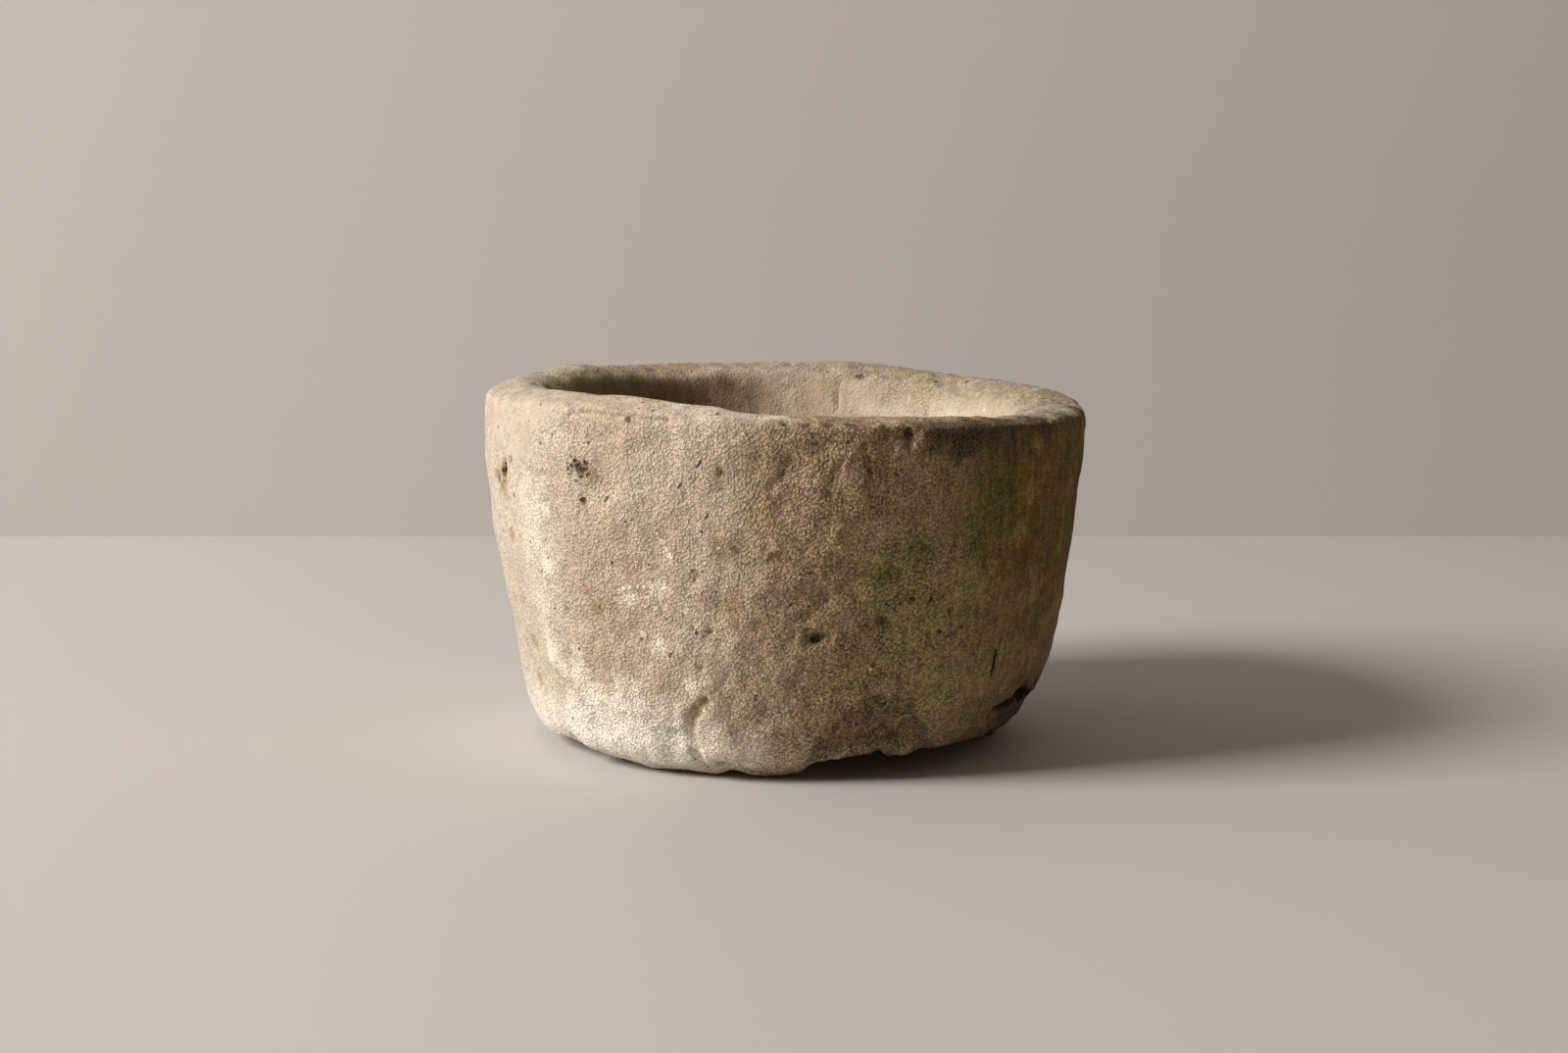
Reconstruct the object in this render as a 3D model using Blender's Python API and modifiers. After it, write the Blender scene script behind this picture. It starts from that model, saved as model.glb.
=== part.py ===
"""Round planter hewn from one block of sandstone.

The stone is a thick-walled tub with a rounded basin and a drain hole through its base. Its
section is turned first, as a mason sets out a round block. The turned blank is then hewn: the
left side keeps a full wall, the right side is worn back under, the rim rises and falls, and a
broad uneven surface is left by the tools. Last come the breaks: the broken foot at the front
right, the split beside it, a scar, a groove and two chips at the rim.

Metres, +Z up, the front is towards -Y. The origin is at the middle of the bed, on the ground.
"""
import math

import bmesh
import bpy
from mathutils import Vector, noise

# Main sizes of the tub
RIM_DIAMETER = 0.599
RIM_HEIGHT = 0.350
RIM_WALL = 0.076
BASE_THICKNESS = 0.085
DRAIN_DIAMETER = 0.036

# Rim: its crest lies inside the outer edge and falls away on both sides, most where it is worn
CREST_INSET = 0.034
OUTER_SHOULDER_FALL = 0.018
INNER_SHOULDER_FALL = 0.022
SHOULDER_WEAR = 0.013
SHOULDER_WEAR_REACH = 0.070

# Basin: the wall leans in a little towards a rounded corner and a dished floor
BASIN_LEAN = 0.028
BASIN_CORNER_ROUND = 0.050
FLOOR_DISH = 0.006

# Tool work: long swells over the whole stone, and shorter marks of the point and chisel
SWELL_WAVELENGTH = 0.130
SWELL_DEPTH = 0.0040
TOOLING_WAVELENGTH = 0.045
TOOLING_DEPTH = 0.0016
BED_MARGIN = 0.030

# Broken foot, at the front right: an arch, and a lower break that runs on to the right
FOOT_ARCH_WIDTH = 0.092
FOOT_ARCH_HEIGHT = 0.033
FOOT_ARCH_REACH = 0.085
FOOT_BREAK_WIDTH = 0.280
FOOT_BREAK_HEIGHT = 0.022
FOOT_BREAK_REACH = 0.095

# Split that climbs round the foot at the right
SPLIT_LENGTH = 0.125
SPLIT_OPENING = 0.011
SPLIT_DEPTH = 0.014
SPLIT_HEIGHT = 0.034

# Scar above the arch
SCAR_WIDTH = 0.084
SCAR_TALL = 0.052
SCAR_DEPTH = 0.007
SCAR_HEIGHT = 0.040

# Groove that runs up the front from the bed
GROOVE_WIDTH = 0.030
GROOVE_TALL = 0.080
GROOVE_DEPTH = 0.004
GROOVE_HEIGHT = 0.028

# Chips at the rim: one in the outer edge at the front, one in the inner edge at the left
OUTER_CHIP_WIDTH = 0.030
OUTER_CHIP_TALL = 0.024
OUTER_CHIP_DEPTH = 0.007
INNER_CHIP_WIDTH = 0.034
INNER_CHIP_TALL = 0.012
INNER_CHIP_DEPTH = 0.009

# Each break is the inside of a rough ellipsoid whose middle lies outside the stone, half the depth
# of the break away, so its half size across the break is one and a half times that depth
BREAK_HALF_SIZE_SHARE = 1.5
BREAK_OFFSET_SHARE = 0.5
BREAK_WAVELENGTH = 0.022
BREAK_ROUGHNESS_SHARE = 0.22

# Outline of the outer wall, as shares of the rim's height and of its radius
WALL_HEIGHT_SHARES = (0.0, 0.03, 0.08, 0.15, 0.25, 0.36, 0.46, 0.56, 0.67, 0.80, 0.91)
FULL_WALL_SHARES = (0.742, 0.824, 0.858, 0.880, 0.902, 0.927, 0.949, 0.973, 0.990, 0.998, 1.0)
WORN_WALL_SHARES = (0.716, 0.757, 0.804, 0.850, 0.896, 0.926, 0.948, 0.966, 0.983, 0.994, 1.0)

# Forms that change round the stone, set out evenly from the right: the crest's height, the reach
# of the plan outside and in the basin, and the wear of the outer shoulder
CREST_HEIGHT_SHARES = (0.960, 0.971, 0.989, 1.003, 1.004, 1.020, 1.020, 1.034, 1.031, 1.0, 0.986, 0.969)
PLAN_SHARES = (1.0, 0.997, 1.0, 1.004, 1.0, 0.996, 1.0, 1.003,
               1.0, 0.992, 1.012, 0.994, 0.996, 1.0, 1.004, 0.998)
BASIN_PLAN_SHARES = (1.0, 1.012, 0.99, 1.0, 1.01, 1.0, 0.985, 1.006)
SHOULDER_WEAR_SHARES = (0.3, 0.3, 0.1, 0.4, 0.55, 0.5, 0.1, 0.2)

# Rows and steps of the turned mesh; the foot's rows are at shares of the rim's height
FOOT_ROW_SHARES = (0.055, 0.03, 0.012, 0.0)
TURN_STEPS = 90
WALL_ROWS = 17
BASIN_ROWS = 8
SHOULDER_ROWS = 5
CORNER_ROWS = 4
FLOOR_ROWS = 3
BED_ROWS = 3
MERGE_DISTANCE = 0.0001

RIM_RADIUS = RIM_DIAMETER / 2
DRAIN_RADIUS = DRAIN_DIAMETER / 2
CREST_RADIUS = RIM_RADIUS - CREST_INSET
BASIN_RADIUS = RIM_RADIUS - RIM_WALL
BASIN_FOOT_RADIUS = BASIN_RADIUS - BASIN_LEAN


def clear_scene():
    for scene_object in list(bpy.data.objects):
        bpy.data.objects.remove(scene_object)


def new_collection(name):
    collection = bpy.data.collections.new(name)
    bpy.context.scene.collection.children.link(collection)
    return collection


def smooth_step(share):
    share = min(max(share, 0.0), 1.0)
    return share * share * (3 - 2 * share)


def blend(first, second, share):
    return first + (second - first) * share


def curve_through(shares, place, closed):
    """Smooth curve through numbered shares at a place counted in steps, round or end to end."""
    count = len(shares)
    step = math.floor(place)
    part = place - step
    near = range(step - 1, step + 3)
    if closed:
        numbers = [index % count for index in near]
    else:
        numbers = [min(max(index, 0), count - 1) for index in near]
    before, start, end, after = (shares[index] for index in numbers)
    start_slope = (end - before) / 2
    end_slope = (after - start) / 2
    cubed = 2 * start - 2 * end + start_slope + end_slope
    squared = 3 * end - 3 * start - 2 * start_slope - end_slope
    return ((cubed * part + squared) * part + start_slope) * part + start


def share_round(shares, angle):
    """Share in a direction, from shares set out evenly round the stone."""
    return curve_through(shares, angle / math.tau % 1.0 * len(shares), closed=True)


def wall_share(height_share, wall_shares):
    """Radius share of an outer wall outline at a share of the rim's height."""
    heights = WALL_HEIGHT_SHARES
    height_share = min(max(height_share, heights[0]), heights[-1])
    step = 0
    while step < len(heights) - 2 and height_share > heights[step + 1]:
        step += 1
    part = (height_share - heights[step]) / (heights[step + 1] - heights[step])
    return curve_through(wall_shares, step + part, closed=False)


def hewn_wall_share(height_share, angle):
    """Radius share of the hewn wall: full at the left, worn back under at the right."""
    wear = (1 + math.cos(angle)) / 2
    full = wall_share(height_share, FULL_WALL_SHARES)
    worn = wall_share(height_share, WORN_WALL_SHARES)
    return blend(full, worn, wear) * share_round(PLAN_SHARES, angle)


def hewn_wall_radius(height, angle):
    return RIM_RADIUS * hewn_wall_share(height / RIM_HEIGHT, angle)


def shoulder(width, fall, sharpness, rows):
    """Steps out and down from the crest along a rounded shoulder."""
    for row in range(1, rows + 1):
        turn = math.pi / 2 * row / rows
        out = width * math.sin(turn) ** (2 / sharpness)
        down = fall * (1 - math.cos(turn) ** (2 / sharpness)) if row < rows else fall
        yield out, down


def turned_section():
    """Closed section of the blank: crest, outer wall, bed, drain, floor, basin wall, crest."""
    points = [(CREST_RADIUS, RIM_HEIGHT)]
    for out, down in shoulder(CREST_INSET, OUTER_SHOULDER_FALL, 5, SHOULDER_ROWS):
        points.append((CREST_RADIUS + out, RIM_HEIGHT - down))
    wall_top = RIM_HEIGHT - OUTER_SHOULDER_FALL
    foot_top = WALL_HEIGHT_SHARES[2] * RIM_HEIGHT
    for row in range(1, WALL_ROWS + 1):
        height = blend(wall_top, foot_top, row / WALL_ROWS)
        points.append((RIM_RADIUS * wall_share(height / RIM_HEIGHT, FULL_WALL_SHARES), height))
    for height_share in FOOT_ROW_SHARES:
        points.append((RIM_RADIUS * wall_share(height_share, FULL_WALL_SHARES), RIM_HEIGHT * height_share))
    bed_radius = RIM_RADIUS * FULL_WALL_SHARES[0]
    for row in range(1, BED_ROWS + 1):
        points.append((blend(bed_radius, DRAIN_RADIUS, row / BED_ROWS), 0.0))
    drain_top = BASE_THICKNESS - FLOOR_DISH
    points.append((DRAIN_RADIUS, drain_top / 2))
    corner_centre = BASIN_FOOT_RADIUS - BASIN_CORNER_ROUND
    for row in range(FLOOR_ROWS + 1):
        share = row / FLOOR_ROWS
        points.append((blend(DRAIN_RADIUS, corner_centre, share), blend(drain_top, BASE_THICKNESS, share)))
    for row in range(1, CORNER_ROWS + 1):
        turn = math.pi / 2 * row / CORNER_ROWS
        radius = corner_centre + BASIN_CORNER_ROUND * math.sin(turn)
        points.append((radius, BASE_THICKNESS + BASIN_CORNER_ROUND * (1 - math.cos(turn))))
    corner_top = BASE_THICKNESS + BASIN_CORNER_ROUND
    basin_top = RIM_HEIGHT - INNER_SHOULDER_FALL
    for row in range(1, BASIN_ROWS):
        share = row / BASIN_ROWS
        points.append((blend(BASIN_FOOT_RADIUS, BASIN_RADIUS, share), blend(corner_top, basin_top, share)))
    inner = list(shoulder(CREST_RADIUS - BASIN_RADIUS, INNER_SHOULDER_FALL, 2, SHOULDER_ROWS))
    for inwards, down in reversed(inner):
        points.append((CREST_RADIUS - inwards, RIM_HEIGHT - down))
    return points


def turned_blank():
    """Mesh of the section turned once round the vertical axis."""
    section = turned_section()
    count = len(section)
    outline = bpy.data.meshes.new("section")
    edges = [(index, (index + 1) % count) for index in range(count)]
    outline.from_pydata([(radius, 0.0, height) for radius, height in section], edges, [])
    blank = bpy.data.objects.new("blank", outline)
    bpy.context.scene.collection.objects.link(blank)
    turn = blank.modifiers.new("turn", 'SCREW')
    turn.axis = 'Z'
    turn.angle = math.tau
    turn.steps = TURN_STEPS
    turn.render_steps = TURN_STEPS
    turn.use_merge_vertices = True
    turn.merge_threshold = MERGE_DISTANCE
    bpy.context.view_layer.update()
    depsgraph = bpy.context.evaluated_depsgraph_get()
    mesh = bpy.data.meshes.new_from_object(blank.evaluated_get(depsgraph))
    bpy.data.objects.remove(blank)
    return mesh


def hewn_place(place):
    """Where a point of the turned blank lies on the hewn stone, before the tool work."""
    turned_radius = math.hypot(place.x, place.y)
    angle = math.atan2(place.y, place.x)
    height_share = place.z / RIM_HEIGHT
    turned_share = wall_share(height_share, FULL_WALL_SHARES)
    hollow_radius = BASIN_RADIUS if place.z > BASE_THICKNESS else DRAIN_RADIUS
    across = (turned_radius - hollow_radius) / (RIM_RADIUS * turned_share - hollow_radius)
    outside = hewn_wall_share(height_share, angle) / turned_share
    inside = blend(1.0, share_round(BASIN_PLAN_SHARES, angle), smooth_step(turned_radius / BASIN_RADIUS))
    radius = turned_radius * blend(inside, outside, smooth_step(across))
    crest = share_round(CREST_HEIGHT_SHARES, angle)
    height = place.z * blend(1.0, crest, smooth_step(2 * height_share - 1))
    past_crest = (turned_radius - CREST_RADIUS) / CREST_INSET
    below_crest = (RIM_HEIGHT - place.z) / SHOULDER_WEAR_REACH
    wear = share_round(SHOULDER_WEAR_SHARES, angle) * smooth_step(past_crest) * smooth_step(1 - below_crest)
    height -= SHOULDER_WEAR * wear
    return Vector((radius * math.cos(angle), radius * math.sin(angle), height))


def tool_work(place):
    """Depth of the tool work at a place: long swells with shorter marks on them."""
    swell = noise.noise(place / SWELL_WAVELENGTH)
    marks = noise.noise(place / TOOLING_WAVELENGTH)
    return SWELL_DEPTH * swell + TOOLING_DEPTH * marks


def hew(mesh):
    """Move the blank's points to the hewn shape, and leave the bed flat and the drain round."""
    for vertex in mesh.vertices:
        vertex.co = hewn_place(vertex.co)
    mesh.update()
    moves = []
    for vertex in mesh.vertices:
        above_bed = smooth_step(vertex.co.z / BED_MARGIN)
        off_drain = smooth_step((math.hypot(vertex.co.x, vertex.co.y) - DRAIN_RADIUS) / BED_MARGIN)
        moves.append(vertex.normal * tool_work(vertex.co) * above_bed * off_drain)
    for vertex, move in zip(mesh.vertices, moves):
        vertex.co += move
    mesh.update()


def break_cutter(name, direction, radius, height, half_sizes, roll, cutters):
    """Rough ellipsoid: half sizes are inwards, along the wall and upwards; angles in degrees."""
    deep, wide, tall = half_sizes
    shape = bmesh.new()
    bmesh.ops.create_icosphere(shape, subdivisions=3, radius=1.0)
    for vertex in shape.verts:
        place = Vector((vertex.co.x * deep, vertex.co.y * wide, vertex.co.z * tall))
        swing = noise.noise((place + Vector((radius, height, 0.0))) / BREAK_WAVELENGTH)
        vertex.co = place * (1 + BREAK_ROUGHNESS_SHARE * swing)
    mesh = bpy.data.meshes.new(name)
    shape.to_mesh(mesh)
    shape.free()
    cutter = bpy.data.objects.new(name, mesh)
    angle = math.radians(direction)
    cutter.location = (radius * math.cos(angle), radius * math.sin(angle), height)
    cutter.rotation_euler = (math.radians(roll), 0.0, angle)
    cutter.hide_render = True
    cutter.display_type = 'WIRE'
    cutters.objects.link(cutter)
    return cutter


def foot_cutter(name, direction, width, height, reach, cutters):
    """Break that opens at the bed, with its middle below the ground at the bed's edge."""
    radius = hewn_wall_radius(0.0, math.radians(direction))
    half_sizes = (reach, width / 2, height * BREAK_HALF_SIZE_SHARE)
    return break_cutter(name, direction, radius, -height * BREAK_OFFSET_SHARE, half_sizes, 0.0, cutters)


def wall_cutter(name, direction, height, width, tall, depth, roll, cutters):
    """Bite of a given depth into the outer wall at a direction and a height."""
    radius = hewn_wall_radius(height, math.radians(direction)) + depth * BREAK_OFFSET_SHARE
    half_sizes = (depth * BREAK_HALF_SIZE_SHARE, width / 2, tall / 2)
    return break_cutter(name, direction, radius, height, half_sizes, roll, cutters)


def rim_cutter(name, direction, radius, fall, width, tall, depth, cutters):
    """Bite into an edge of the rim, where the shoulder has fallen half way to the wall."""
    crest = RIM_HEIGHT * share_round(CREST_HEIGHT_SHARES, math.radians(direction))
    half_sizes = (depth, width / 2, tall / 2)
    return break_cutter(name, direction, radius, crest - fall / 2, half_sizes, 0.0, cutters)


def all_cutters(cutters):
    return [
        foot_cutter("foot_arch", 286, FOOT_ARCH_WIDTH, FOOT_ARCH_HEIGHT, FOOT_ARCH_REACH, cutters),
        foot_cutter("foot_break", 317, FOOT_BREAK_WIDTH, FOOT_BREAK_HEIGHT, FOOT_BREAK_REACH, cutters),
        wall_cutter("foot_split", 340, SPLIT_HEIGHT, SPLIT_LENGTH, SPLIT_OPENING, SPLIT_DEPTH, 9, cutters),
        wall_cutter("foot_scar", 294, SCAR_HEIGHT, SCAR_WIDTH, SCAR_TALL, SCAR_DEPTH, 0, cutters),
        wall_cutter("foot_groove", 246, GROOVE_HEIGHT, GROOVE_WIDTH, GROOVE_TALL, GROOVE_DEPTH, 0, cutters),
        rim_cutter("outer_chip", 292, RIM_RADIUS, OUTER_SHOULDER_FALL, OUTER_CHIP_WIDTH, OUTER_CHIP_TALL,
                   OUTER_CHIP_DEPTH, cutters),
        rim_cutter("inner_chip", 207, BASIN_RADIUS, INNER_SHOULDER_FALL, INNER_CHIP_WIDTH, INNER_CHIP_TALL,
                   INNER_CHIP_DEPTH, cutters),
    ]


def sandstone():
    material = bpy.data.materials.new("weathered_sandstone")
    material.use_nodes = True
    shader = material.node_tree.nodes["Principled BSDF"]
    shader.inputs["Base Color"].default_value = (0.44, 0.33, 0.22, 1.0)
    shader.inputs["Roughness"].default_value = 0.93
    shader.inputs["Metallic"].default_value = 0.0
    return material


def stone_body(planter, cutters):
    """The whole planter: one piece of stone, hewn and then broken at its edges."""
    mesh = turned_blank()
    hew(mesh)
    mesh.name = "stone_body"
    mesh.materials.clear()
    mesh.materials.append(sandstone())
    mesh.shade_smooth()
    mesh.set_sharp_from_angle(angle=math.radians(40))
    body = bpy.data.objects.new("stone_body", mesh)
    planter.objects.link(body)
    for cutter in all_cutters(cutters):
        cut = body.modifiers.new(cutter.name, 'BOOLEAN')
        cut.operation = 'DIFFERENCE'
        cut.solver = 'EXACT'
        cut.object = cutter
    return body


def build():
    clear_scene()
    planter = new_collection("stone_planter")
    cutters = new_collection("stone_planter_cutters")
    body = stone_body(planter, cutters)
    bpy.context.view_layer.update()
    evaluated = body.evaluated_get(bpy.context.evaluated_depsgraph_get())
    evaluated.data.calc_loop_triangles()
    corners = [Vector(corner) for corner in evaluated.bound_box]
    low = [min(corner[axis] for corner in corners) for axis in range(3)]
    high = [max(corner[axis] for corner in corners) for axis in range(3)]
    print("triangles", len(evaluated.data.loop_triangles))
    print("lowest corner", [round(value, 4) for value in low])
    print("highest corner", [round(value, 4) for value in high])


build()
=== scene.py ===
# %% [markdown]
# # A weathered stone planter
# This tub was hewn from one block of sandstone and stood outdoors for a very long time. The packed
# solid already has its real size, its leaning walls, its uneven rim and its broken foot. What is
# left to make is the skin: tool marks, pits, cracks, crusts, grain, stains and growth. We start by
# loading the solid as a fixed frame and keeping its box.

# %% Load the frame
import math

import bmesh
import bpy
import numpy as np
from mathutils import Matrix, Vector
from mathutils.bvhtree import BVHTree


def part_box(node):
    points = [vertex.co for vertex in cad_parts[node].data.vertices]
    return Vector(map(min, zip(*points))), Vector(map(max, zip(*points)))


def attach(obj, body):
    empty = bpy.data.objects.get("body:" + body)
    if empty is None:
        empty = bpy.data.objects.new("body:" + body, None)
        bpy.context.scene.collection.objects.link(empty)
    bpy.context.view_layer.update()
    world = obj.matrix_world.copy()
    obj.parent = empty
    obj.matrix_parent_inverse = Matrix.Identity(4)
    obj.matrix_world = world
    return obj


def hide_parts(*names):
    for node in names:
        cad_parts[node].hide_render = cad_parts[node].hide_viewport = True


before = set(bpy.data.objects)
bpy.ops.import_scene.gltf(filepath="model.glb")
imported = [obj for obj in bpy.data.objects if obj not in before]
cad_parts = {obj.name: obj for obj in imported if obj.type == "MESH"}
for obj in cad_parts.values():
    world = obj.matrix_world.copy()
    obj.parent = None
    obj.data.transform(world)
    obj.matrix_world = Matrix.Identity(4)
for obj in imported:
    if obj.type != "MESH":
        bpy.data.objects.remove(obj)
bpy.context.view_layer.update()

low_corner, high_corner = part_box("stone_body")
print("stone from", tuple(round(v, 4) for v in low_corner),
      "to", tuple(round(v, 4) for v in high_corner))

# %% [markdown]
# ## The camera
# A long lens looks down on the tub from about three metres away. The camera comes first because the
# marks on the stone are easiest to place by where they show in the picture: a pixel becomes a ray,
# and the ray lands on the stone.

# %% Camera
PICTURE_WIDTH, PICTURE_HEIGHT = 1600, 1074
FOCAL_PIXELS = 3082
CAMERA_PLACE = (-0.0008, -3.0, 0.6612)
CAMERA_TILT_DEGREES = 8.59

camera_data = bpy.data.cameras.new("camera")
camera_data.lens = FOCAL_PIXELS / PICTURE_WIDTH * camera_data.sensor_width
camera = bpy.data.objects.new("camera", camera_data)
camera.location = CAMERA_PLACE
camera.rotation_euler = (math.radians(90 - CAMERA_TILT_DEGREES), 0, 0)
bpy.context.scene.collection.objects.link(camera)
bpy.context.scene.camera = camera
bpy.context.scene.view_settings.view_transform = 'Standard'
print("lens", round(camera_data.lens, 1), "mm")

# %% [markdown]
# ## A solid to land on
# The frame's mesh is loose triangles. A copy with its doubles merged is one closed surface. It serves
# twice: as the target of the rays and as the blank that the skin is made from.

# %% Merged copy of the solid and pixels that land on it
MERGE_DISTANCE = 0.00001


def merged_copy(node, name):
    shape = bmesh.new()
    shape.from_mesh(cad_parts[node].data)
    bmesh.ops.remove_doubles(shape, verts=shape.verts, dist=MERGE_DISTANCE)
    mesh = bpy.data.meshes.new(name)
    shape.to_mesh(mesh)
    shape.free()
    return mesh


blank_mesh = merged_copy("stone_body", "blank")
blank_shape = bmesh.new()
blank_shape.from_mesh(blank_mesh)
blank_tree = BVHTree.FromBMesh(blank_shape)
blank_shape.free()


def on_stone(pixel_x, pixel_y):
    """Where the ray through a pixel of the picture first meets the stone, or passes closest to it."""
    across = (pixel_x - PICTURE_WIDTH / 2) / FOCAL_PIXELS
    up = (PICTURE_HEIGHT / 2 - pixel_y) / FOCAL_PIXELS
    direction = (camera.rotation_euler.to_matrix() @ Vector((across, up, -1))).normalized()
    place = blank_tree.ray_cast(camera.location, direction)[0]
    if place is None:
        place = blank_tree.find_nearest(camera.location + direction * camera.location.length)[0]
    return place


def place_of(mark):
    """A mark's place on the stone: from a pixel, or near a point in metres where no pixel shows it."""
    return on_stone(*mark) if len(mark) == 2 else blank_tree.find_nearest(Vector(mark))[0]


print("blank has", len(blank_mesh.vertices), "points; the middle of the front is at", on_stone(800, 600))

# %% [markdown]
# ## Arithmetic on sockets
# Both the shape and the finish are made by node trees, and both need a lot of arithmetic. One small
# class wraps a socket and turns Python's operators into Math nodes, so that a rule can be written as
# one line. Another adds any other node: its settings come first, then the values of its sockets.

# %% Socket arithmetic
class Wire:
    """A socket that can be added, multiplied and so on, in a shader or a geometry tree."""

    def __init__(self, board, socket):
        self.board = board
        self.socket = socket

    def calculate(self, operation, *values):
        kinds = {value.socket.type for value in values if isinstance(value, Wire)}
        vector = 'VECTOR' in kinds or 'RGBA' in kinds
        kind = 'ShaderNodeVectorMath' if vector else 'ShaderNodeMath'
        return self.board.add(kind, {'operation': operation}, values)

    def __add__(self, other):
        return self.calculate('ADD', self, other)

    def __radd__(self, other):
        return self.calculate('ADD', other, self)

    def __sub__(self, other):
        return self.calculate('SUBTRACT', self, other)

    def __rsub__(self, other):
        return self.calculate('SUBTRACT', other, self)

    def __mul__(self, other):
        return self.calculate('MULTIPLY', self, other)

    def __rmul__(self, other):
        return self.calculate('MULTIPLY', other, self)

    def __truediv__(self, other):
        return self.calculate('DIVIDE', self, other)

    def __rtruediv__(self, other):
        return self.calculate('DIVIDE', other, self)


class Board:
    """A node tree to add nodes to."""

    def __init__(self, tree):
        self.tree = tree

    def plug(self, socket, value):
        if isinstance(value, Wire):
            self.tree.links.new(value.socket, socket)
        elif socket.type == 'VECTOR' and isinstance(value, (int, float)):
            socket.default_value = (value, value, value)
        else:
            socket.default_value = value

    def add(self, kind, settings=None, values=(), out=0):
        """New node; values is a list for its first sockets, or a dict by the sockets' names."""
        node = self.tree.nodes.new(kind)
        for name, setting in (settings or {}).items():
            setattr(node, name, setting)
        ready = [socket for socket in node.inputs if socket.enabled]
        named = {socket.name: socket for socket in reversed(ready)}
        chosen = values.items() if isinstance(values, dict) else enumerate(values)
        for key, value in chosen:
            self.plug(named[key] if isinstance(key, str) else ready[key], value)
        given_out = [socket for socket in node.outputs if socket.enabled]
        return Wire(self, given_out[out] if isinstance(out, int) else node.outputs[out])

    def smooth(self, value, start, end):
        """0 before start and 1 after end, with a soft step between; start may be the larger."""
        if start > end:
            return 1 - self.smooth(value, end, start)
        return self.add('ShaderNodeMapRange', {'interpolation_type': 'SMOOTHSTEP'},
                        {'Value': value, 'From Min': start, 'From Max': end})

    def noise(self, place, wavelength, detail=2.0, roughness=0.5, out=0):
        """Noise between 0 and 1 whose swells are about one wavelength long."""
        return self.add('ShaderNodeTexNoise', {}, {
            'Vector': place, 'Scale': 1 / wavelength, 'Detail': detail, 'Roughness': roughness}, out)

    def cells(self, place, size, out=0):
        """Distance to the nearest of many scattered points, in parts of their usual spacing."""
        return self.add('ShaderNodeTexVoronoi', {}, {'Vector': place, 'Scale': 1 / size}, out)


print("operators ready")

# %% [markdown]
# ## Marks that have a place
# Some marks are landmarks of this stone: crumbly pits near the left of the front, an oval pit in the
# middle, a slit and a split at the right, a ridge of lime crust, hollows along the foot. Each is given
# by its pixel in the picture. Where a ray would only graze the stone, or where no pixel shows it, it
# is given by its place in metres instead. Its half width and its depth in metres follow, and a bump
# has a negative depth. Sculpting them by hand would do too, but numbers can be read and changed.

# %% Pits
PITS = (
    # two crumbly pits near the left edge, and the crumbly spots beside them
    (513, 475, 0.0075, 0.0085), (519, 473, 0.0065, 0.0080), (506, 488, 0.0080, 0.0085),
    (512, 484, 0.0070, 0.0080), (511, 498, 0.0045, 0.0050), (508, 461, 0.0035, 0.0032),
    (588, 473, 0.0050, 0.0030), (592, 486, 0.0050, 0.0030), (583, 482, 0.0050, 0.0025),
    (593, 512, 0.0045, 0.0030), (598, 521, 0.0040, 0.0020),
    # the oval pit in the middle
    (824, 652, 0.0065, 0.0040), (833, 653, 0.0075, 0.0054), (843, 651, 0.0065, 0.0042),
    # small pits all over the front
    (901, 634, 0.0070, 0.0045), (908, 637, 0.0060, 0.0040), (931, 611, 0.0035, 0.0030),
    (951, 613, 0.0032, 0.0030), (962, 609, 0.0032, 0.0030), (948, 646, 0.0045, 0.0035),
    (960, 644, 0.0030, 0.0025), (937, 640, 0.0032, 0.0025), (971, 637, 0.0035, 0.0030),
    (992, 620, 0.0032, 0.0025), (537, 626, 0.0028, 0.0030), (533, 659, 0.0035, 0.0030),
    (574, 645, 0.0026, 0.0025), (518, 533, 0.0026, 0.0020), (523, 419, 0.0030, 0.0025),
    (512, 405, 0.0040, 0.0020), (801, 429, 0.0045, 0.0040), (735, 421, 0.0035, 0.0035),
    (735, 482, 0.0030, 0.0025), (735, 499, 0.0032, 0.0025), (723, 646, 0.0040, 0.0030),
    (595, 716, 0.0028, 0.0028), (663, 622, 0.0035, 0.0022),
    # hollows along the foot, one above the split, and one bump below the rim
    (556, 757, 0.0100, 0.0040), (586, 763, 0.0120, 0.0045), (612, 776, 0.0090, 0.0030),
    (737, 787, 0.0120, 0.0040), (830, 779, 0.0090, 0.0035), (1024, 700, 0.0060, 0.0035),
    (548, 742, 0.0080, 0.0025), (897, 432, 0.0070, -0.0022),
    (566, 752, 0.0050, 0.0030), (601, 771, 0.0050, 0.0030), (636, 781, 0.0050, 0.0028),
    # the sides that the picture hides
    (0.100, 0.274, 0.200, 0.0085, 0.0070), (0.112, 0.268, 0.190, 0.0060, 0.0060),
    (0.091, 0.276, 0.188, 0.0045, 0.0050), (-0.197, 0.188, 0.101, 0.0090, 0.0050),
    (-0.157, 0.253, 0.300, 0.0065, 0.0050), (-0.168, 0.247, 0.291, 0.0050, 0.0040),
    (-0.255, 0.150, 0.218, 0.0050, 0.0045), (0.197, 0.197, 0.121, 0.0110, 0.0050),
    (-0.047, 0.257, 0.064, 0.0150, 0.0045), (0.246, 0.170, 0.270, 0.0060, 0.0050),
    (-0.286, 0.040, 0.170, 0.0045, 0.0045), (0.020, 0.290, 0.260, 0.0050, 0.0040),
)
print(len(PITS), "pits listed")

# %% [markdown]
# A furrow has its half width and its depth first, and then the places that it runs through. A ridge is
# a furrow with a negative depth.

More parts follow.
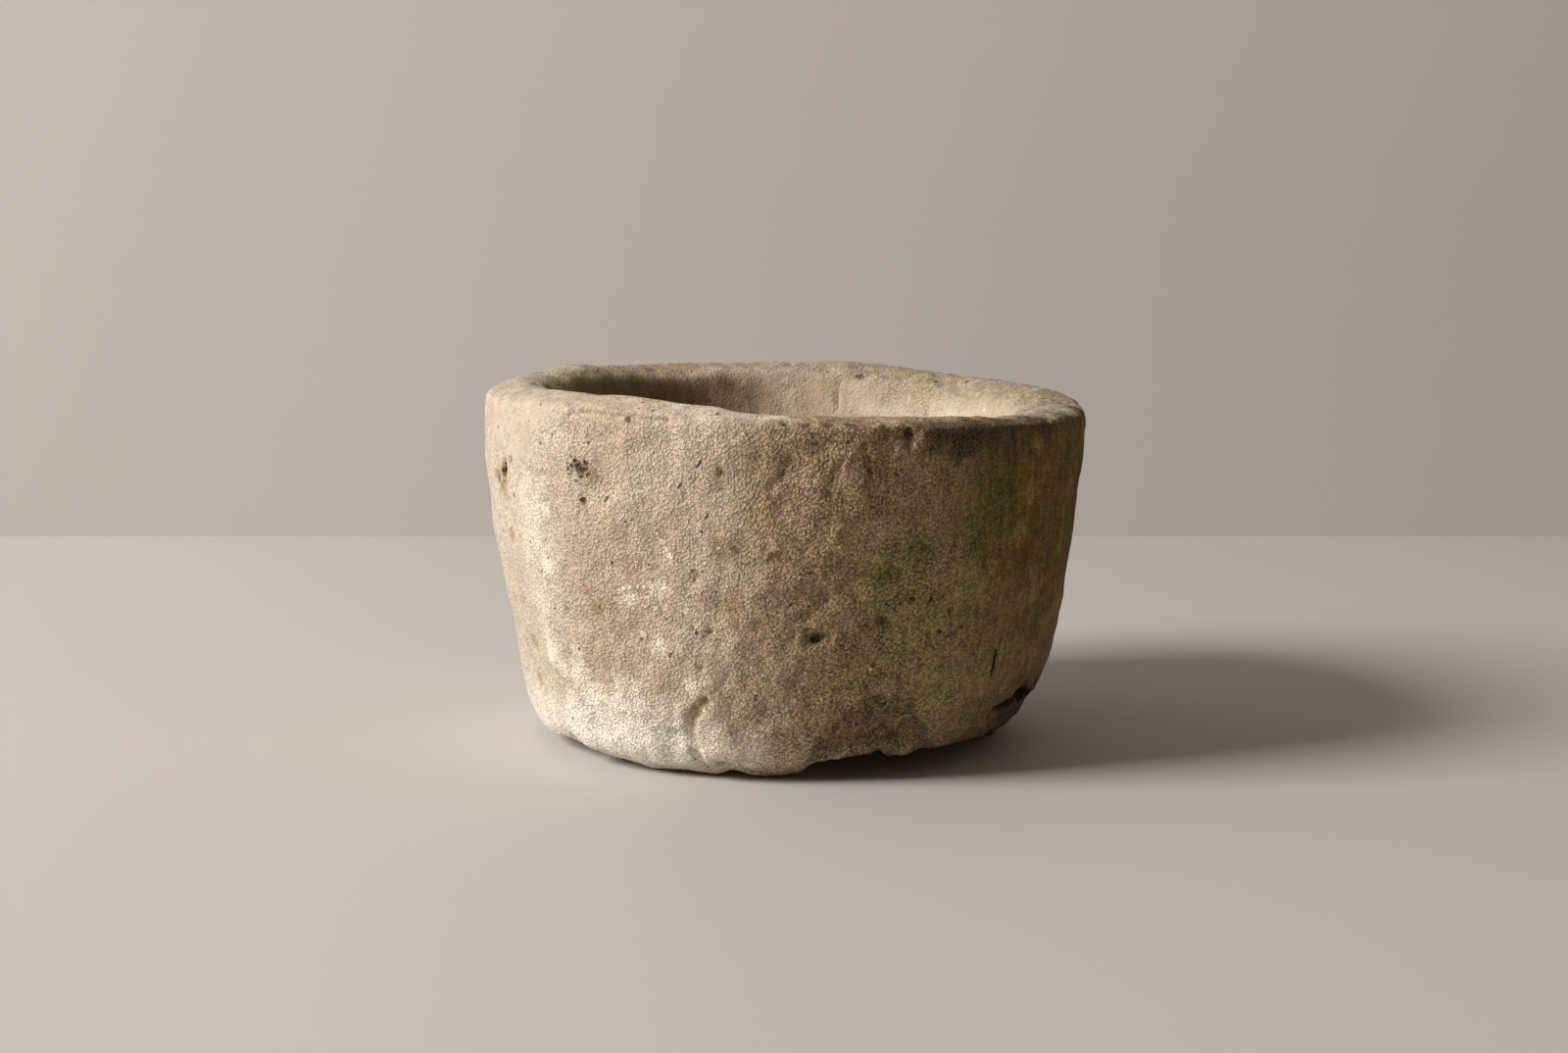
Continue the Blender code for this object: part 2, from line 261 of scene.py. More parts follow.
# %% Furrows and ridges
FURROWS = (
    # the slit at the right, and a shorter one beside it
    (0.0020, 0.0050, ((1019, 664), (1016, 676), (1013, 688))),
    (0.0014, 0.0030, ((1008, 655), (1007, 664))),
    # a crack down the basin's wall, and one across the rim at the left
    (0.0026, 0.0026, ((856, 388), (855, 398), (854, 408), (853, 421))),
    (0.0034, 0.0036, ((-0.247, -0.056, 0.357), (-0.241, -0.048, 0.356), (-0.2385, -0.030, 0.354),
                      (-0.234, -0.018, 0.352), (-0.2345, 0.000, 0.351), (-0.230, 0.014, 0.348))),
    # the line along the near rim, in two parts, and a short crack under it
    (0.0042, 0.0038, ((577, 424), (583, 418), (605, 417), (630, 420), (648, 421), (663, 426),
                      (680, 428))),
    (0.0026, 0.0018, ((736, 421), (750, 421), (768, 423), (790, 427))),
    (0.0016, 0.0018, ((735, 468), (734, 484), (737, 500))),
    # the groove at the foot, with the ridge to its left
    (0.0075, 0.0044, ((720, 717), (712, 725), (705, 735), (703, 748), (706, 763), (712, 776),
                      (721, 790))),
    (0.0060, -0.0016, ((694, 724), (691, 738), (692, 754), (698, 769))),
    # three runs down from the rim
    (0.0130, 0.0034, ((908, 442), (908, 458), (901, 476))),
    (0.0034, 0.0026, ((885, 458), (888, 474), (891, 492))),
    (0.0048, 0.0040, ((925, 430), (928, 441), (929, 455))),
    # the crevice of the split, from the front round to the right
    (0.0048, 0.0090, ((1016, 726), (1024, 721), (1033, 714))),
    (0.0075, 0.0100, ((1034, 713), (1041, 708), (0.2365, -0.086, 0.053))),
    (0.0080, 0.0030, ((0.239, -0.072, 0.049), (0.2425, -0.045, 0.044), (0.2425, -0.015, 0.039))),
    # hollows of the scar above the broken foot
    (0.0060, 0.0018, ((866, 734), (882, 727), (898, 722))),
    (0.0060, 0.0022, ((916, 724), (928, 733), (934, 744))),
    (0.0060, 0.0026, ((872, 758), (880, 746), (892, 738), (906, 736))),
    (0.0060, 0.0026, ((846, 760), (862, 752), (876, 752))),
    (0.0060, 0.0022, ((905, 752), (914, 744), (920, 736))),
    # strokes of the pick over the middle of the front
    (0.0035, 0.0016, ((786, 556), (778, 570), (768, 580))),
    (0.0035, 0.0012, ((742, 690), (730, 706), (722, 722))),
    (0.0060, 0.0018, ((820, 676), (816, 692), (808, 706))),
    (0.0060, 0.0024, ((770, 588), (782, 574), (796, 566))),
    (0.0060, 0.0020, ((872, 560), (862, 576), (848, 588))),
    (0.0060, 0.0022, ((846, 610), (834, 622), (820, 630))),
    (0.0050, 0.0020, ((806, 468), (798, 486), (786, 500))),
    (0.0050, 0.0018, ((862, 470), (852, 486), (846, 504))),
    # ridges of the scar
    (0.0040, -0.0016, ((905, 726), (899, 738), (888, 750), (880, 762))),
    (0.0045, -0.0018, ((924, 742), (915, 752), (903, 762))),
    (0.0045, -0.0016, ((866, 766), (884, 768), (905, 766))),
    # ridges of lime crust, and other thin ridges over the front
    (0.0026, -0.0018, ((628, 606), (640, 601), (655, 599), (668, 598), (684, 602), (691, 609))),
    (0.0026, -0.0016, ((666, 541), (674, 548), (676, 556), (686, 567), (691, 577))),
    (0.0030, -0.0012, ((640, 640), (655, 648), (666, 660), (669, 672))),
    (0.0026, -0.0010, ((795, 562), (802, 571), (810, 579))),
    (0.0040, -0.0014, ((884, 512), (868, 532), (856, 541), (850, 552))),
    (0.0040, -0.0012, ((878, 446), (870, 462), (860, 478))),
    (0.0036, -0.0013, ((590, 416), (574, 424), (564, 436), (559, 450), (556, 464))),
    # a thin crack from the left pits, and the swelling to the right of the groove
    (0.0034, 0.0016, ((531, 470), (538, 480), (550, 485), (563, 485))),
    (0.0120, -0.0020, ((730, 734), (740, 748), (745, 762), (742, 776))),
    # the sides that the picture hides
    (0.0060, -0.0022, ((0.051, 0.296, 0.330), (0.066, 0.288, 0.270), (0.060, 0.285, 0.208),
                       (0.075, 0.272, 0.150))),
    (0.0120, 0.0050, ((-0.110, 0.215, 0.010), (-0.070, 0.230, 0.013), (-0.030, 0.238, 0.010))),
    (0.0110, 0.0050, ((0.110, 0.215, 0.012), (0.150, 0.190, 0.016), (0.170, 0.170, 0.010))),
    (0.0030, 0.0040, ((-0.280, 0.108, 0.300), (-0.282, 0.104, 0.262), (-0.276, 0.106, 0.225))),
    (0.0110, 0.0060, ((-0.118, 0.258, 0.352), (-0.095, 0.267, 0.349), (-0.078, 0.272, 0.352))),
    (0.0100, 0.0040, ((0.170, 0.235, 0.350), (0.190, 0.222, 0.340), (0.205, 0.205, 0.350))),
    # the lump under the split
    (0.0075, -0.0035, ((1018, 736), (1030, 730), (1038, 722))),
    (0.0100, -0.0020, ((0.2325, -0.05, 0.030), (0.232, -0.02, 0.026))),
)
print(len(FURROWS), "furrows and ridges listed")

# %% [markdown]
# A geometry tree can measure how far a point of the skin is from another object. So the marks become
# two small meshes: bare points for the pits, and edges for the furrows. Each point or edge carries its
# reach and its depth as attributes.

# %% Marks as meshes
def points_object(name, places, attributes, edges=()):
    """Mesh of bare points, or of points and edges, that carries numbers for a geometry tree."""
    mesh = bpy.data.meshes.new(name)
    mesh.from_pydata(places, edges, [])
    domain = 'EDGE' if edges else 'POINT'
    for attribute_name, values in attributes.items():
        attribute = mesh.attributes.new(attribute_name, 'FLOAT', domain)
        attribute.data.foreach_set('value', values)
    holder = bpy.data.objects.new(name, mesh)
    bpy.context.scene.collection.objects.link(holder)
    return holder


pit_holder = points_object("pit_places", [place_of(pit[:-2]) for pit in PITS],
                           {'reach': [pit[-2] for pit in PITS], 'depth': [pit[-1] for pit in PITS]})
furrow_places, furrow_edges, furrow_reaches, furrow_depths = [], [], [], []
for reach, depth, marks in FURROWS:
    first = len(furrow_places)
    furrow_places.extend(place_of(mark) for mark in marks)
    for number in range(first, first + len(marks) - 1):
        furrow_edges.append((number, number + 1))
        furrow_reaches.append(reach)
        furrow_depths.append(depth)
furrow_holder = points_object("furrow_places", furrow_places,
                              {'reach': furrow_reaches, 'depth': furrow_depths}, furrow_edges)
print(len(PITS), "pits and", len(FURROWS), "furrows and ridges placed")

# %% [markdown]
# ## The worked skin
# The blank's large facets can't hold pits a few millimetres wide, so it is remeshed into small even
# cells. Subdividing the facets would leave long thin cells. A voxel remesh makes cells of one size all
# over a closed solid, and a light smoothing then takes away the small steps that the voxels leave.

# %% Remeshed blank
CELL = 0.0030
STEP_SMOOTHING = 0.5
STEP_ROUNDS = 3

stone = bpy.data.objects.new("weathered_stone", blank_mesh)
bpy.context.scene.collection.objects.link(stone)


def settle(target):
    """Replace an object's mesh by what its modifiers make of it, and remove them."""
    bpy.context.view_layer.update()
    depsgraph = bpy.context.evaluated_depsgraph_get()
    mesh = bpy.data.meshes.new_from_object(target.evaluated_get(depsgraph))
    target.modifiers.clear()
    target.data = mesh


remesh = stone.modifiers.new("even cells", 'REMESH')
remesh.mode = 'VOXEL'
remesh.voxel_size = CELL
remesh.use_smooth_shade = True
ease = stone.modifiers.new("ease steps", 'SMOOTH')
ease.factor = STEP_SMOOTHING
ease.iterations = STEP_ROUNDS
settle(stone)
print("remeshed blank has", len(stone.data.polygons), "cells")

# %% [markdown]
# ## Two broken places
# The solid has an even bite where the groove and the split are. Finer marks take their place later,
# so both bites are eased first: every point near them moves to the mean of its neighbours, many times
# over, and less so towards the edge. numpy does that for all the points at once.

# %% Ease two bites
SOFTENED = (
    # middle, reach, rounds
    ((-0.101, -0.238, 0.046), 0.040, 80),
    ((0.232, -0.072, 0.036), 0.055, 60),
)


def point_places(mesh):
    """The places of a mesh's points, one row each."""
    places = np.empty(len(mesh.vertices) * 3)
    mesh.vertices.foreach_get('co', places)
    return places.reshape(-1, 3)


def soften(mesh, centre, reach, rounds):
    """Move the points round a place to the mean of their neighbours, again and again."""
    places = point_places(mesh)
    weights = np.clip(2 * (1 - np.linalg.norm(places - np.array(centre), axis=1) / reach), 0, 1)
    edges = np.empty(len(mesh.edges) * 2, dtype=np.int64)
    mesh.edges.foreach_get('vertices', edges)
    edges = edges.reshape(-1, 2)
    edges = edges[(weights[edges] > 0).any(axis=1)]
    ends = np.concatenate((edges, edges[:, ::-1]))
    neighbours = np.maximum(np.bincount(ends[:, 0], minlength=len(places)), 1)
    for turn in range(rounds):
        for axis in range(3):
            total = np.bincount(ends[:, 0], places[ends[:, 1], axis], minlength=len(places))
            places[:, axis] += (total / neighbours - places[:, axis]) * weights
    mesh.vertices.foreach_set('co', places.ravel())


for centre, reach, rounds in SOFTENED:
    soften(stone.data, centre, reach, rounds)
print("eased", len(SOFTENED), "bites")

# %% [markdown]
# ## The line of the foot
# The broken foot is seen against its own shadow, so its outline matters more than its surface. It is
# given as a row of pixels along the front, each with the height in metres by which the lowest part of
# the wall goes up or down there. The shift fades out upwards, and inwards to the flat bed.

# %% Line of the foot
FOOT_ROW = 766
FOOT_EDGE = (
    # pixel, lift in metres
    (556, 0.003), (572, 0.006), (590, 0.008), (612, 0.005), (640, 0.004), (665, 0.002),
    (700, 0.003), (730, 0.002), (745, 0.005), (770, 0.002), (800, 0.003), (830, 0.004), (845, 0.002),
    (856, -0.003), (872, -0.008), (886, -0.008), (893, 0.005), (899, 0.013), (906, 0.008),
    (918, 0.004), (930, 0.002), (945, 0.005), (965, 0.002), (1000, 0.002),
)
FOOT_BAND = 0.045
BED_RADIUS, EDGE_RADIUS = 0.185, 0.212
BACK_LIFT = 0.003


def shift_foot(mesh):
    """Lift or drop the lowest part of the wall, by heights given along the front in pixels."""
    places = point_places(mesh)
    known = [on_stone(pixel, FOOT_ROW).x for pixel, lift in FOOT_EDGE]
    lifts = np.interp(places[:, 0], known, [lift for pixel, lift in FOOT_EDGE])
    from_axis = np.hypot(places[:, 0], places[:, 1])
    out = np.clip((from_axis - BED_RADIUS) / (EDGE_RADIUS - BED_RADIUS), 0, 1)
    low = np.clip(1 - places[:, 2] / FOOT_BAND, 0, 1)
    facing = np.where(places[:, 1] < 0, lifts, BACK_LIFT)
    places[:, 2] = np.maximum(places[:, 2] + facing * out * np.sqrt(low), 0)
    mesh.vertices.foreach_set('co', places.ravel())


shift_foot(stone.data)
print("foot follows", len(FOOT_EDGE), "heights")

# %% [markdown]
# ## Stains with a place
# Stains lie in patches: lime bloom and haze, with a painted highlight down the lit left edge, a side
# washed smooth, crust, iron, soil in the cracks with painted shade, algae, pocks, dark specks, lichen,
# damp, grime with painted shade under the rim and over the split, and the brown scar of the broken
# foot. Each patch is a pixel, or a place in metres where a ray would graze the stone, and a reach in
# metres. Painting an image would need an unwrapped surface, and these few numbers don't.

# %% Patches
PATCHES = {
    "bloom_and_highlight": (
        # lime bloom at the foot, on the front and behind, and a painted highlight down the lit left edge
        (556, 520, 0.012), (556, 575, 0.014), (562, 665, 0.022), (572, 682, 0.014), (588, 665, 0.012),
        (560, 738, 0.030), (580, 745, 0.030), (605, 748, 0.032), (635, 755, 0.036), (662, 760, 0.036),
        (690, 772, 0.026), (650, 732, 0.026), (620, 722, 0.022), (672, 602, 0.014), (640, 608, 0.014),
        (700, 775, 0.026), (735, 770, 0.030), (770, 778, 0.024), (672, 658, 0.012), (705, 702, 0.012),
        (604, 712, 0.032), (640, 712, 0.034), (594, 738, 0.044), (650, 765, 0.050),
        (600, 765, 0.050), (620, 745, 0.055),
        (670, 745, 0.045), (590, 690, 0.026), (690, 785, 0.040), (563, 720, 0.016),
        (-0.150, 0.225, 0.110, 0.040), (-0.175, 0.215, 0.150, 0.030), (-0.140, 0.220, 0.070, 0.035),
        (0.030, 0.270, 0.110, 0.030), (0.045, 0.275, 0.140, 0.024), (-0.262, 0.110, 0.120, 0.030),
    ),
    "wash": (
        (522, 425, 0.055), (505, 420, 0.050), (550, 408, 0.040), (572, 402, 0.034), (605, 402, 0.024),
        (640, 408, 0.020), (530, 448, 0.036),
    ),
    "haze": (
        (540, 520, 0.045), (548, 560, 0.055), (552, 610, 0.055), (560, 650, 0.040),
        (700, 416, 0.040), (730, 418, 0.045), (760, 420, 0.045), (785, 423, 0.035),
    ),
    "crust": (
        (630, 605, 0.005), (636, 602, 0.005), (643, 600, 0.005), (650, 599, 0.005), (657, 599, 0.005),
        (664, 598, 0.005), (671, 599, 0.005), (678, 600, 0.005), (685, 603, 0.005), (691, 609, 0.005),
        (627, 612, 0.005), (633, 615, 0.006), (645, 622, 0.005), (617, 627, 0.006), (628, 641, 0.005),
        (700, 623, 0.008), (665, 541, 0.004), (670, 545, 0.004), (675, 553, 0.006), (679, 561, 0.005),
        (684, 567, 0.007), (690, 575, 0.005), (714, 536, 0.006), (677, 619, 0.007), (668, 621, 0.005),
        (710, 540, 0.006), (655, 648, 0.007), (666, 664, 0.008), (670, 672, 0.005), (697, 613, 0.005),
        (790, 519, 0.004), (806, 520, 0.004), (921, 610, 0.004), (888, 685, 0.004), (824, 709, 0.004),
        (838, 715, 0.004), (899, 748, 0.004), (566, 660, 0.010), (556, 600, 0.007), (560, 672, 0.010),
        (897, 432, 0.004), (850, 690, 0.004), (870, 430, 0.006), (1003, 418, 0.006),
    ),
    "iron": (
        (800, 505, 0.034), (828, 492, 0.028), (856, 482, 0.024), (874, 486, 0.014), (781, 542, 0.020),
        (784, 562, 0.018), (792, 598, 0.034), (772, 640, 0.028), (758, 605, 0.024), (786, 664, 0.022),
        (800, 692, 0.022), (744, 640, 0.018), (792, 760, 0.012), (826, 528, 0.016), (760, 700, 0.020),
        (640, 580, 0.022), (720, 610, 0.018), (600, 600, 0.016), (532, 610, 0.018), (540, 650, 0.016),
        (-0.200, 0.210, 0.220, 0.060), (-0.230, 0.180, 0.190, 0.050), (0.100, 0.270, 0.200, 0.050),
        (-0.060, 0.280, 0.180, 0.050),
    ),
    "soil_and_shade": (
        # soil, and painted shade: near black in the crevice of the split, in the rim's crack, the slit and
        # the pits
        (1043, 708, 0.010), (1037, 712, 0.010), (1032, 715, 0.009), (1028, 717, 0.008), (1024, 720, 0.007),
        (1020, 723, 0.006), (0.2325, -0.094, 0.055, 0.013), (0.2365, -0.084, 0.052, 0.013),
        (0.239, -0.073, 0.049, 0.012), (0.241, -0.058, 0.046, 0.011), (0.242, -0.047, 0.0455, 0.010),
        (0.2425, -0.036, 0.0445, 0.010), (0.243, -0.026, 0.0430, 0.009), (0.2435, -0.017, 0.0415, 0.008),
        (0.2435, -0.009, 0.0405, 0.007), (-0.2405, -0.047, 0.356, 0.004), (-0.2385, -0.032, 0.354, 0.004),
        (-0.2342, -0.012, 0.352, 0.0035),
        (514, 475, 0.007), (507, 488, 0.007), (801, 429, 0.005), (735, 421, 0.004),
        (1019, 665, 0.0030), (1018, 669, 0.0034), (1017, 673, 0.0035), (1016, 677, 0.0038),
        (1015, 681, 0.0037), (1014, 685, 0.0034), (1013, 689, 0.0030), (982, 640, 0.0030),
        (952, 612, 0.0032), (960, 645, 0.0032), (933, 612, 0.0030), (971, 625, 0.0030), (994, 668, 0.0032),
    ),
    "algae": (
        (1000, 518, 0.020), (1010, 505, 0.016), (1014, 528, 0.020), (990, 532, 0.016), (1028, 540, 0.018),
        (1003, 548, 0.018), (896, 635, 0.009), (905, 634, 0.010), (940, 565, 0.034), (905, 585, 0.028),
        (577, 622, 0.007), (1010, 520, 0.044), (1000, 560, 0.030), (1022, 500, 0.030), (1005, 490, 0.024),
        (0.150, 0.215, 0.060, 0.060), (0.100, 0.235, 0.050, 0.060), (0.200, 0.180, 0.080, 0.050),
        (0.000, 0.250, 0.045, 0.050), (0.240, 0.150, 0.200, 0.045),
    ),
    "pocks": (
        (589, 478, 0.019), (593, 514, 0.007), (512, 483, 0.014), (735, 421, 0.006), (834, 652, 0.009),
        (597, 525, 0.006), (714, 646, 0.006),
    ),
    "specks": (
        (950, 610, 0.040), (975, 640, 0.040), (930, 590, 0.040), (990, 655, 0.034), (1005, 560, 0.030),
        (740, 600, 0.060), (700, 500, 0.070), (650, 560, 0.060), (760, 680, 0.060), (880, 640, 0.050),
        (820, 600, 0.050), (620, 640, 0.040), (700, 640, 0.050), (900, 690, 0.040),
    ),
    "lichen": (
        (900, 372, 0.030), (922, 378, 0.034), (944, 384, 0.030), (880, 370, 0.024), (840, 369, 0.022),
        (860, 368, 0.020), (1050, 401, 0.034), (1068, 404, 0.034), (1036, 398, 0.026), (1085, 408, 0.026),
        (1020, 396, 0.020), (970, 388, 0.020), (930, 600, 0.050), (960, 640, 0.060), (915, 660, 0.050),
        (990, 600, 0.050), (960, 700, 0.060), (1010, 680, 0.040), (900, 620, 0.034), (895, 580, 0.034),
        (880, 690, 0.040), (577, 622, 0.010), (820, 365, 0.014), (780, 364, 0.014), (620, 385, 0.016),
        (570, 388, 0.024), (596, 382, 0.030), (640, 376, 0.030), (690, 371, 0.024),
    ),
    "damp": (
        (585, 384, 0.026), (612, 378, 0.034), (640, 375, 0.044), (668, 373, 0.050), (700, 371, 0.044),
        (735, 370, 0.022), (770, 369, 0.020), (800, 369, 0.016), (780, 482, 0.034), (795, 580, 0.030),
        (718, 718, 0.011), (709, 729, 0.014), (704, 742, 0.017), (705, 758, 0.017), (712, 774, 0.014),
        (735, 560, 0.026), (745, 620, 0.024), (512, 490, 0.030), (600, 482, 0.026), (735, 486, 0.014),
        (607, 620, 0.020), (520, 545, 0.014), (545, 655, 0.014), (548, 690, 0.014),
        (-0.120, 0.265, 0.300, 0.060), (-0.100, 0.270, 0.250, 0.045), (-0.105, 0.262, 0.200, 0.035),
        (0.040, 0.292, 0.300, 0.050), (0.055, 0.288, 0.250, 0.040), (-0.230, 0.190, 0.310, 0.040),
        (-0.285, 0.060, 0.290, 0.035), (-0.283, 0.062, 0.250, 0.028),
    ),
    "grime_and_shade": (
        # grime, and painted shade under the rim's lip and its right end, in the rim's crack, in pits, and
        # over the split and the lump below it
        (822, 431, 0.010), (845, 431, 0.010), (868, 431, 0.010), (927, 441, 0.009), (948, 432, 0.026),
        (970, 433, 0.036), (1000, 432, 0.036), (1030, 430, 0.036), (1060, 427, 0.034), (1085, 422, 0.028),
        (1098, 416, 0.020),
        (985, 450, 0.030), (960, 446, 0.026), (1012, 446, 0.030), (1036, 455, 0.026), (888, 480, 0.005),
        (589, 478, 0.011), (512, 483, 0.010), (593, 513, 0.005), (834, 652, 0.009), (1098, 490, 0.014),
        (-0.246, -0.054, 0.357, 0.005), (-0.241, -0.048, 0.356, 0.006), (-0.240, -0.040, 0.355, 0.006),
        (-0.2385, -0.031, 0.354, 0.007), (-0.236, -0.023, 0.353, 0.006), (-0.234, -0.016, 0.352, 0.006),
        (-0.2345, -0.008, 0.3515, 0.005), (-0.2345, 0.000, 0.351, 0.006), (-0.231, 0.010, 0.3485, 0.005),
        (735, 421, 0.005), (877, 383, 0.008), (640, 427, 0.006),
        (1044, 706, 0.022), (1034, 713, 0.014), (1024, 720, 0.009), (0.2465, -0.050, 0.057, 0.030),
        (0.214, -0.126, 0.044, 0.030), (0.221, -0.100, 0.036, 0.042), (0.226, -0.064, 0.028, 0.044),
        (0.214, -0.075, 0.014, 0.044), (0.236, -0.030, 0.026, 0.036), (0.203, -0.120, 0.016, 0.026),
    ),
    "scar": (
        (866, 742, 0.030), (890, 732, 0.030), (912, 734, 0.028), (930, 744, 0.018), (848, 755, 0.022),
        (900, 758, 0.026), (876, 762, 0.020), (1022, 748, 0.012),
        (838, 768, 0.014), (940, 768, 0.020), (975, 762, 0.016), (1003, 752, 0.016),
    ),
}
print("patches:", ", ".join(f"{len(patches)} {name}" for name, patches in PATCHES.items()))

# %% [markdown]
# The patch that covers a point most sets its field, which is one at the patch's middle and nothing at
# its edge. The fields are painted before the skin is worn, so that they reach down into the deepest
# pits, and the finish breaks their edges up with noise.

# %% Paint the fields
def paint(mesh, name, patches):
    """Store on the points how far each lies inside its patch, one at the middle and 0 at the edge."""
    places = point_places(mesh)
    field = np.zeros(len(places))
    for *mark, reach in patches:
        distance = np.linalg.norm(places - np.array(place_of(mark)), axis=1)
        field = np.maximum(field, 1 - distance / reach)
    mesh.attributes.new(name, 'FLOAT', 'POINT').data.foreach_set('value', field)


for patch_name, patches in PATCHES.items():
    paint(stone.data, patch_name, patches)
print("fields on the mesh:", ", ".join(PATCHES))

# %% [markdown]
# ## The weathering tree
# A Geometry Nodes tree presses the skin inwards along its normals: scoops left by the mason's pick,
# worn swells, crumbling, scattered pits and the placed marks. A sculpted skin would look as good, but
# it can't be run again with other sizes. Here the main sizes are named inputs, and so is the seed of
# the scattered pits.

# %% Tree inputs
SIZES = {
    "Scoop width": 0.036, "Scoop depth": 0.0025, "Swell length": 0.085, "Swell depth": 0.0021,
    "Crumble length": 0.020, "Crumble depth": 0.0031, "Pit density": 260.0, "Pit depth": 0.0022,
}
SEED = 7
weathering = bpy.data.node_groups.new("weathering", 'GeometryNodeTree')


def tree_input(title, kind):
    return weathering.interface.new_socket(title, in_out='INPUT', socket_type=kind)


tree_input("Geometry", 'NodeSocketGeometry')
for title in SIZES:
    tree_input(title, 'NodeSocketFloat')
tree_input("Seed", 'NodeSocketInt')
tree_input("Pits", 'NodeSocketObject')
tree_input("Furrows", 'NodeSocketObject')
tree_input("Material", 'NodeSocketMaterial')
weathering.interface.new_socket("Geometry", in_out='OUTPUT', socket_type='NodeSocketGeometry')
board = Board(weathering)
entry = weathering.nodes.new('NodeGroupInput')
given = {socket.name: Wire(board, socket) for socket in entry.outputs if socket.name}
print("inputs:", ", ".join(given))

# %% [markdown]
# Placed marks: the distance to the nearest one, divided by its reach, gives a bowl. The place is
# shaken by noise first, so that every bowl has a ragged edge. Only the narrow furrows are darkened,
# with dirt and painted shade.

# %% Placed marks
RAGGED_LENGTH = 0.009
RAGGED_SHIFT = 0.008
DIRT_AND_SHADE_REACH = (0.0065, 0.0055)

place = board.add('GeometryNodeInputPosition')
normal = board.add('GeometryNodeInputNormal')
ragged = place + (board.noise(place, RAGGED_LENGTH, 3.0, 0.6, out='Color') - 0.5) * RAGGED_SHIFT


def nearest_mark(holder, target, domain):
    """Distance to the nearest placed mark over its reach, its reach and its depth."""
    marks = board.add('GeometryNodeObjectInfo', {}, {'Object': holder}, 'Geometry')
    near = {'Geometry': marks, 'Sample Position': ragged}
    distance = board.add('GeometryNodeProximity', {'target_element': target}, near, 'Distance')
    number = board.add('GeometryNodeSampleNearest', {'domain': domain}, near)
    values = []
    for name in ('reach', 'depth'):
        carried = board.add('GeometryNodeInputNamedAttribute', {'data_type': 'FLOAT'}, {'Name': name})
        values.append(board.add('GeometryNodeSampleIndex', {'data_type': 'FLOAT', 'domain': domain},
                                {'Geometry': marks, 'Value': carried, 'Index': number}))
    return distance / values[0], *values


pit_distance, _, pit_depth = nearest_mark(given["Pits"], 'POINTS', 'POINT')
placed_pits = board.smooth(pit_distance, 1.15, 0.3) * pit_depth
furrow_distance, furrow_reach, furrow_depth = nearest_mark(given["Furrows"], 'EDGES', 'EDGE')
placed_furrows = board.smooth(furrow_distance, 1.2, 0.1) * furrow_depth
furrow_dirt_and_shade = placed_furrows * board.smooth(furrow_reach, *DIRT_AND_SHADE_REACH)
print("placed marks are in the tree")

# %% [markdown]
# Scattered pits: one node throws points over the skin, and each point presses a small bowl. A slow
# noise makes the bowls larger in some places than in others, as in real stone.

# %% Scattered pits
SMALLEST_PIT = 0.0020
PIT_GROWTH = 0.0050

scattered = board.add('GeometryNodeDistributePointsOnFaces', {}, {
    'Mesh': given["Geometry"], 'Density': given["Pit density"], 'Seed': given["Seed"]})
scatter_distance = board.add('GeometryNodeProximity', {'target_element': 'POINTS'},
                             {'Geometry': scattered, 'Sample Position': ragged}, 'Distance')
scatter_reach = SMALLEST_PIT + board.smooth(board.noise(place, 0.06), 0.45, 0.75) * PIT_GROWTH
scattered_pits = board.smooth(scatter_distance / scatter_reach, 1.0, 0.2) * given["Pit depth"]
print("scattered pits are in the tree")

# %% [markdown]
# Tool work: a smooth Voronoi texture gives the shallow bowls that a pick leaves side by side. Thin
# leaning chips come from cells that are turned and stretched. The basin was worked finer.

# %% Tool work
CHIP_WIDTH = 0.014
CHIP_DEPTH = 0.0016
CHIP_LEAN = math.radians(-35)
SHAKE = 0.030
BASIN_WALL = (0.240, 0.222)
BASIN_FLOOR = (0.06, 0.09)

flat_place = place * (1.0, 1.0, 0.0)
across = board.add('ShaderNodeVectorMath', {'operation': 'LENGTH'}, [flat_place], 'Value')
height = board.add('ShaderNodeSeparateXYZ', {}, [place], 'Z')
inside = board.smooth(across, *BASIN_WALL) * board.smooth(height, *BASIN_FLOOR)
shaken = place + (board.noise(place, 0.035, 2.0, out='Color') - 0.5) * SHAKE
scoops = board.add('ShaderNodeTexVoronoi', {'feature': 'SMOOTH_F1'}, {
    'Vector': shaken * (1.0, 1.0, 0.8), 'Scale': 1 / given["Scoop width"], 'Smoothness': 0.35})
scoop_press = (1 - scoops * 1.3) * given["Scoop depth"] * (1 - inside * 0.6)
leaning_place = board.add('ShaderNodeVectorRotate', {'rotation_type': 'Y_AXIS'}, {
    'Vector': place + (board.noise(place, 0.02, 2.0, out='Color') - 0.5) * 0.020, 'Angle': CHIP_LEAN})
chips = board.cells(leaning_place * (1.0, 1.0, 0.4), CHIP_WIDTH)
chipped = board.smooth(board.noise(place, 0.05), 0.46, 0.62)
chip_press = board.smooth(chips, 0.35, 0.05) * CHIP_DEPTH * chipped
print("tool work is in the tree")

# %% [markdown]
# Wear: noise gives the long swells and the crumbling. The left and right sides and the rim are worn
# smoother than the front. Rain has run down the basin's wall, so there the noise is stretched upwards.

# %% Wear
RUN_WIDTH = 0.022
RUN_DEPTH = 0.0036

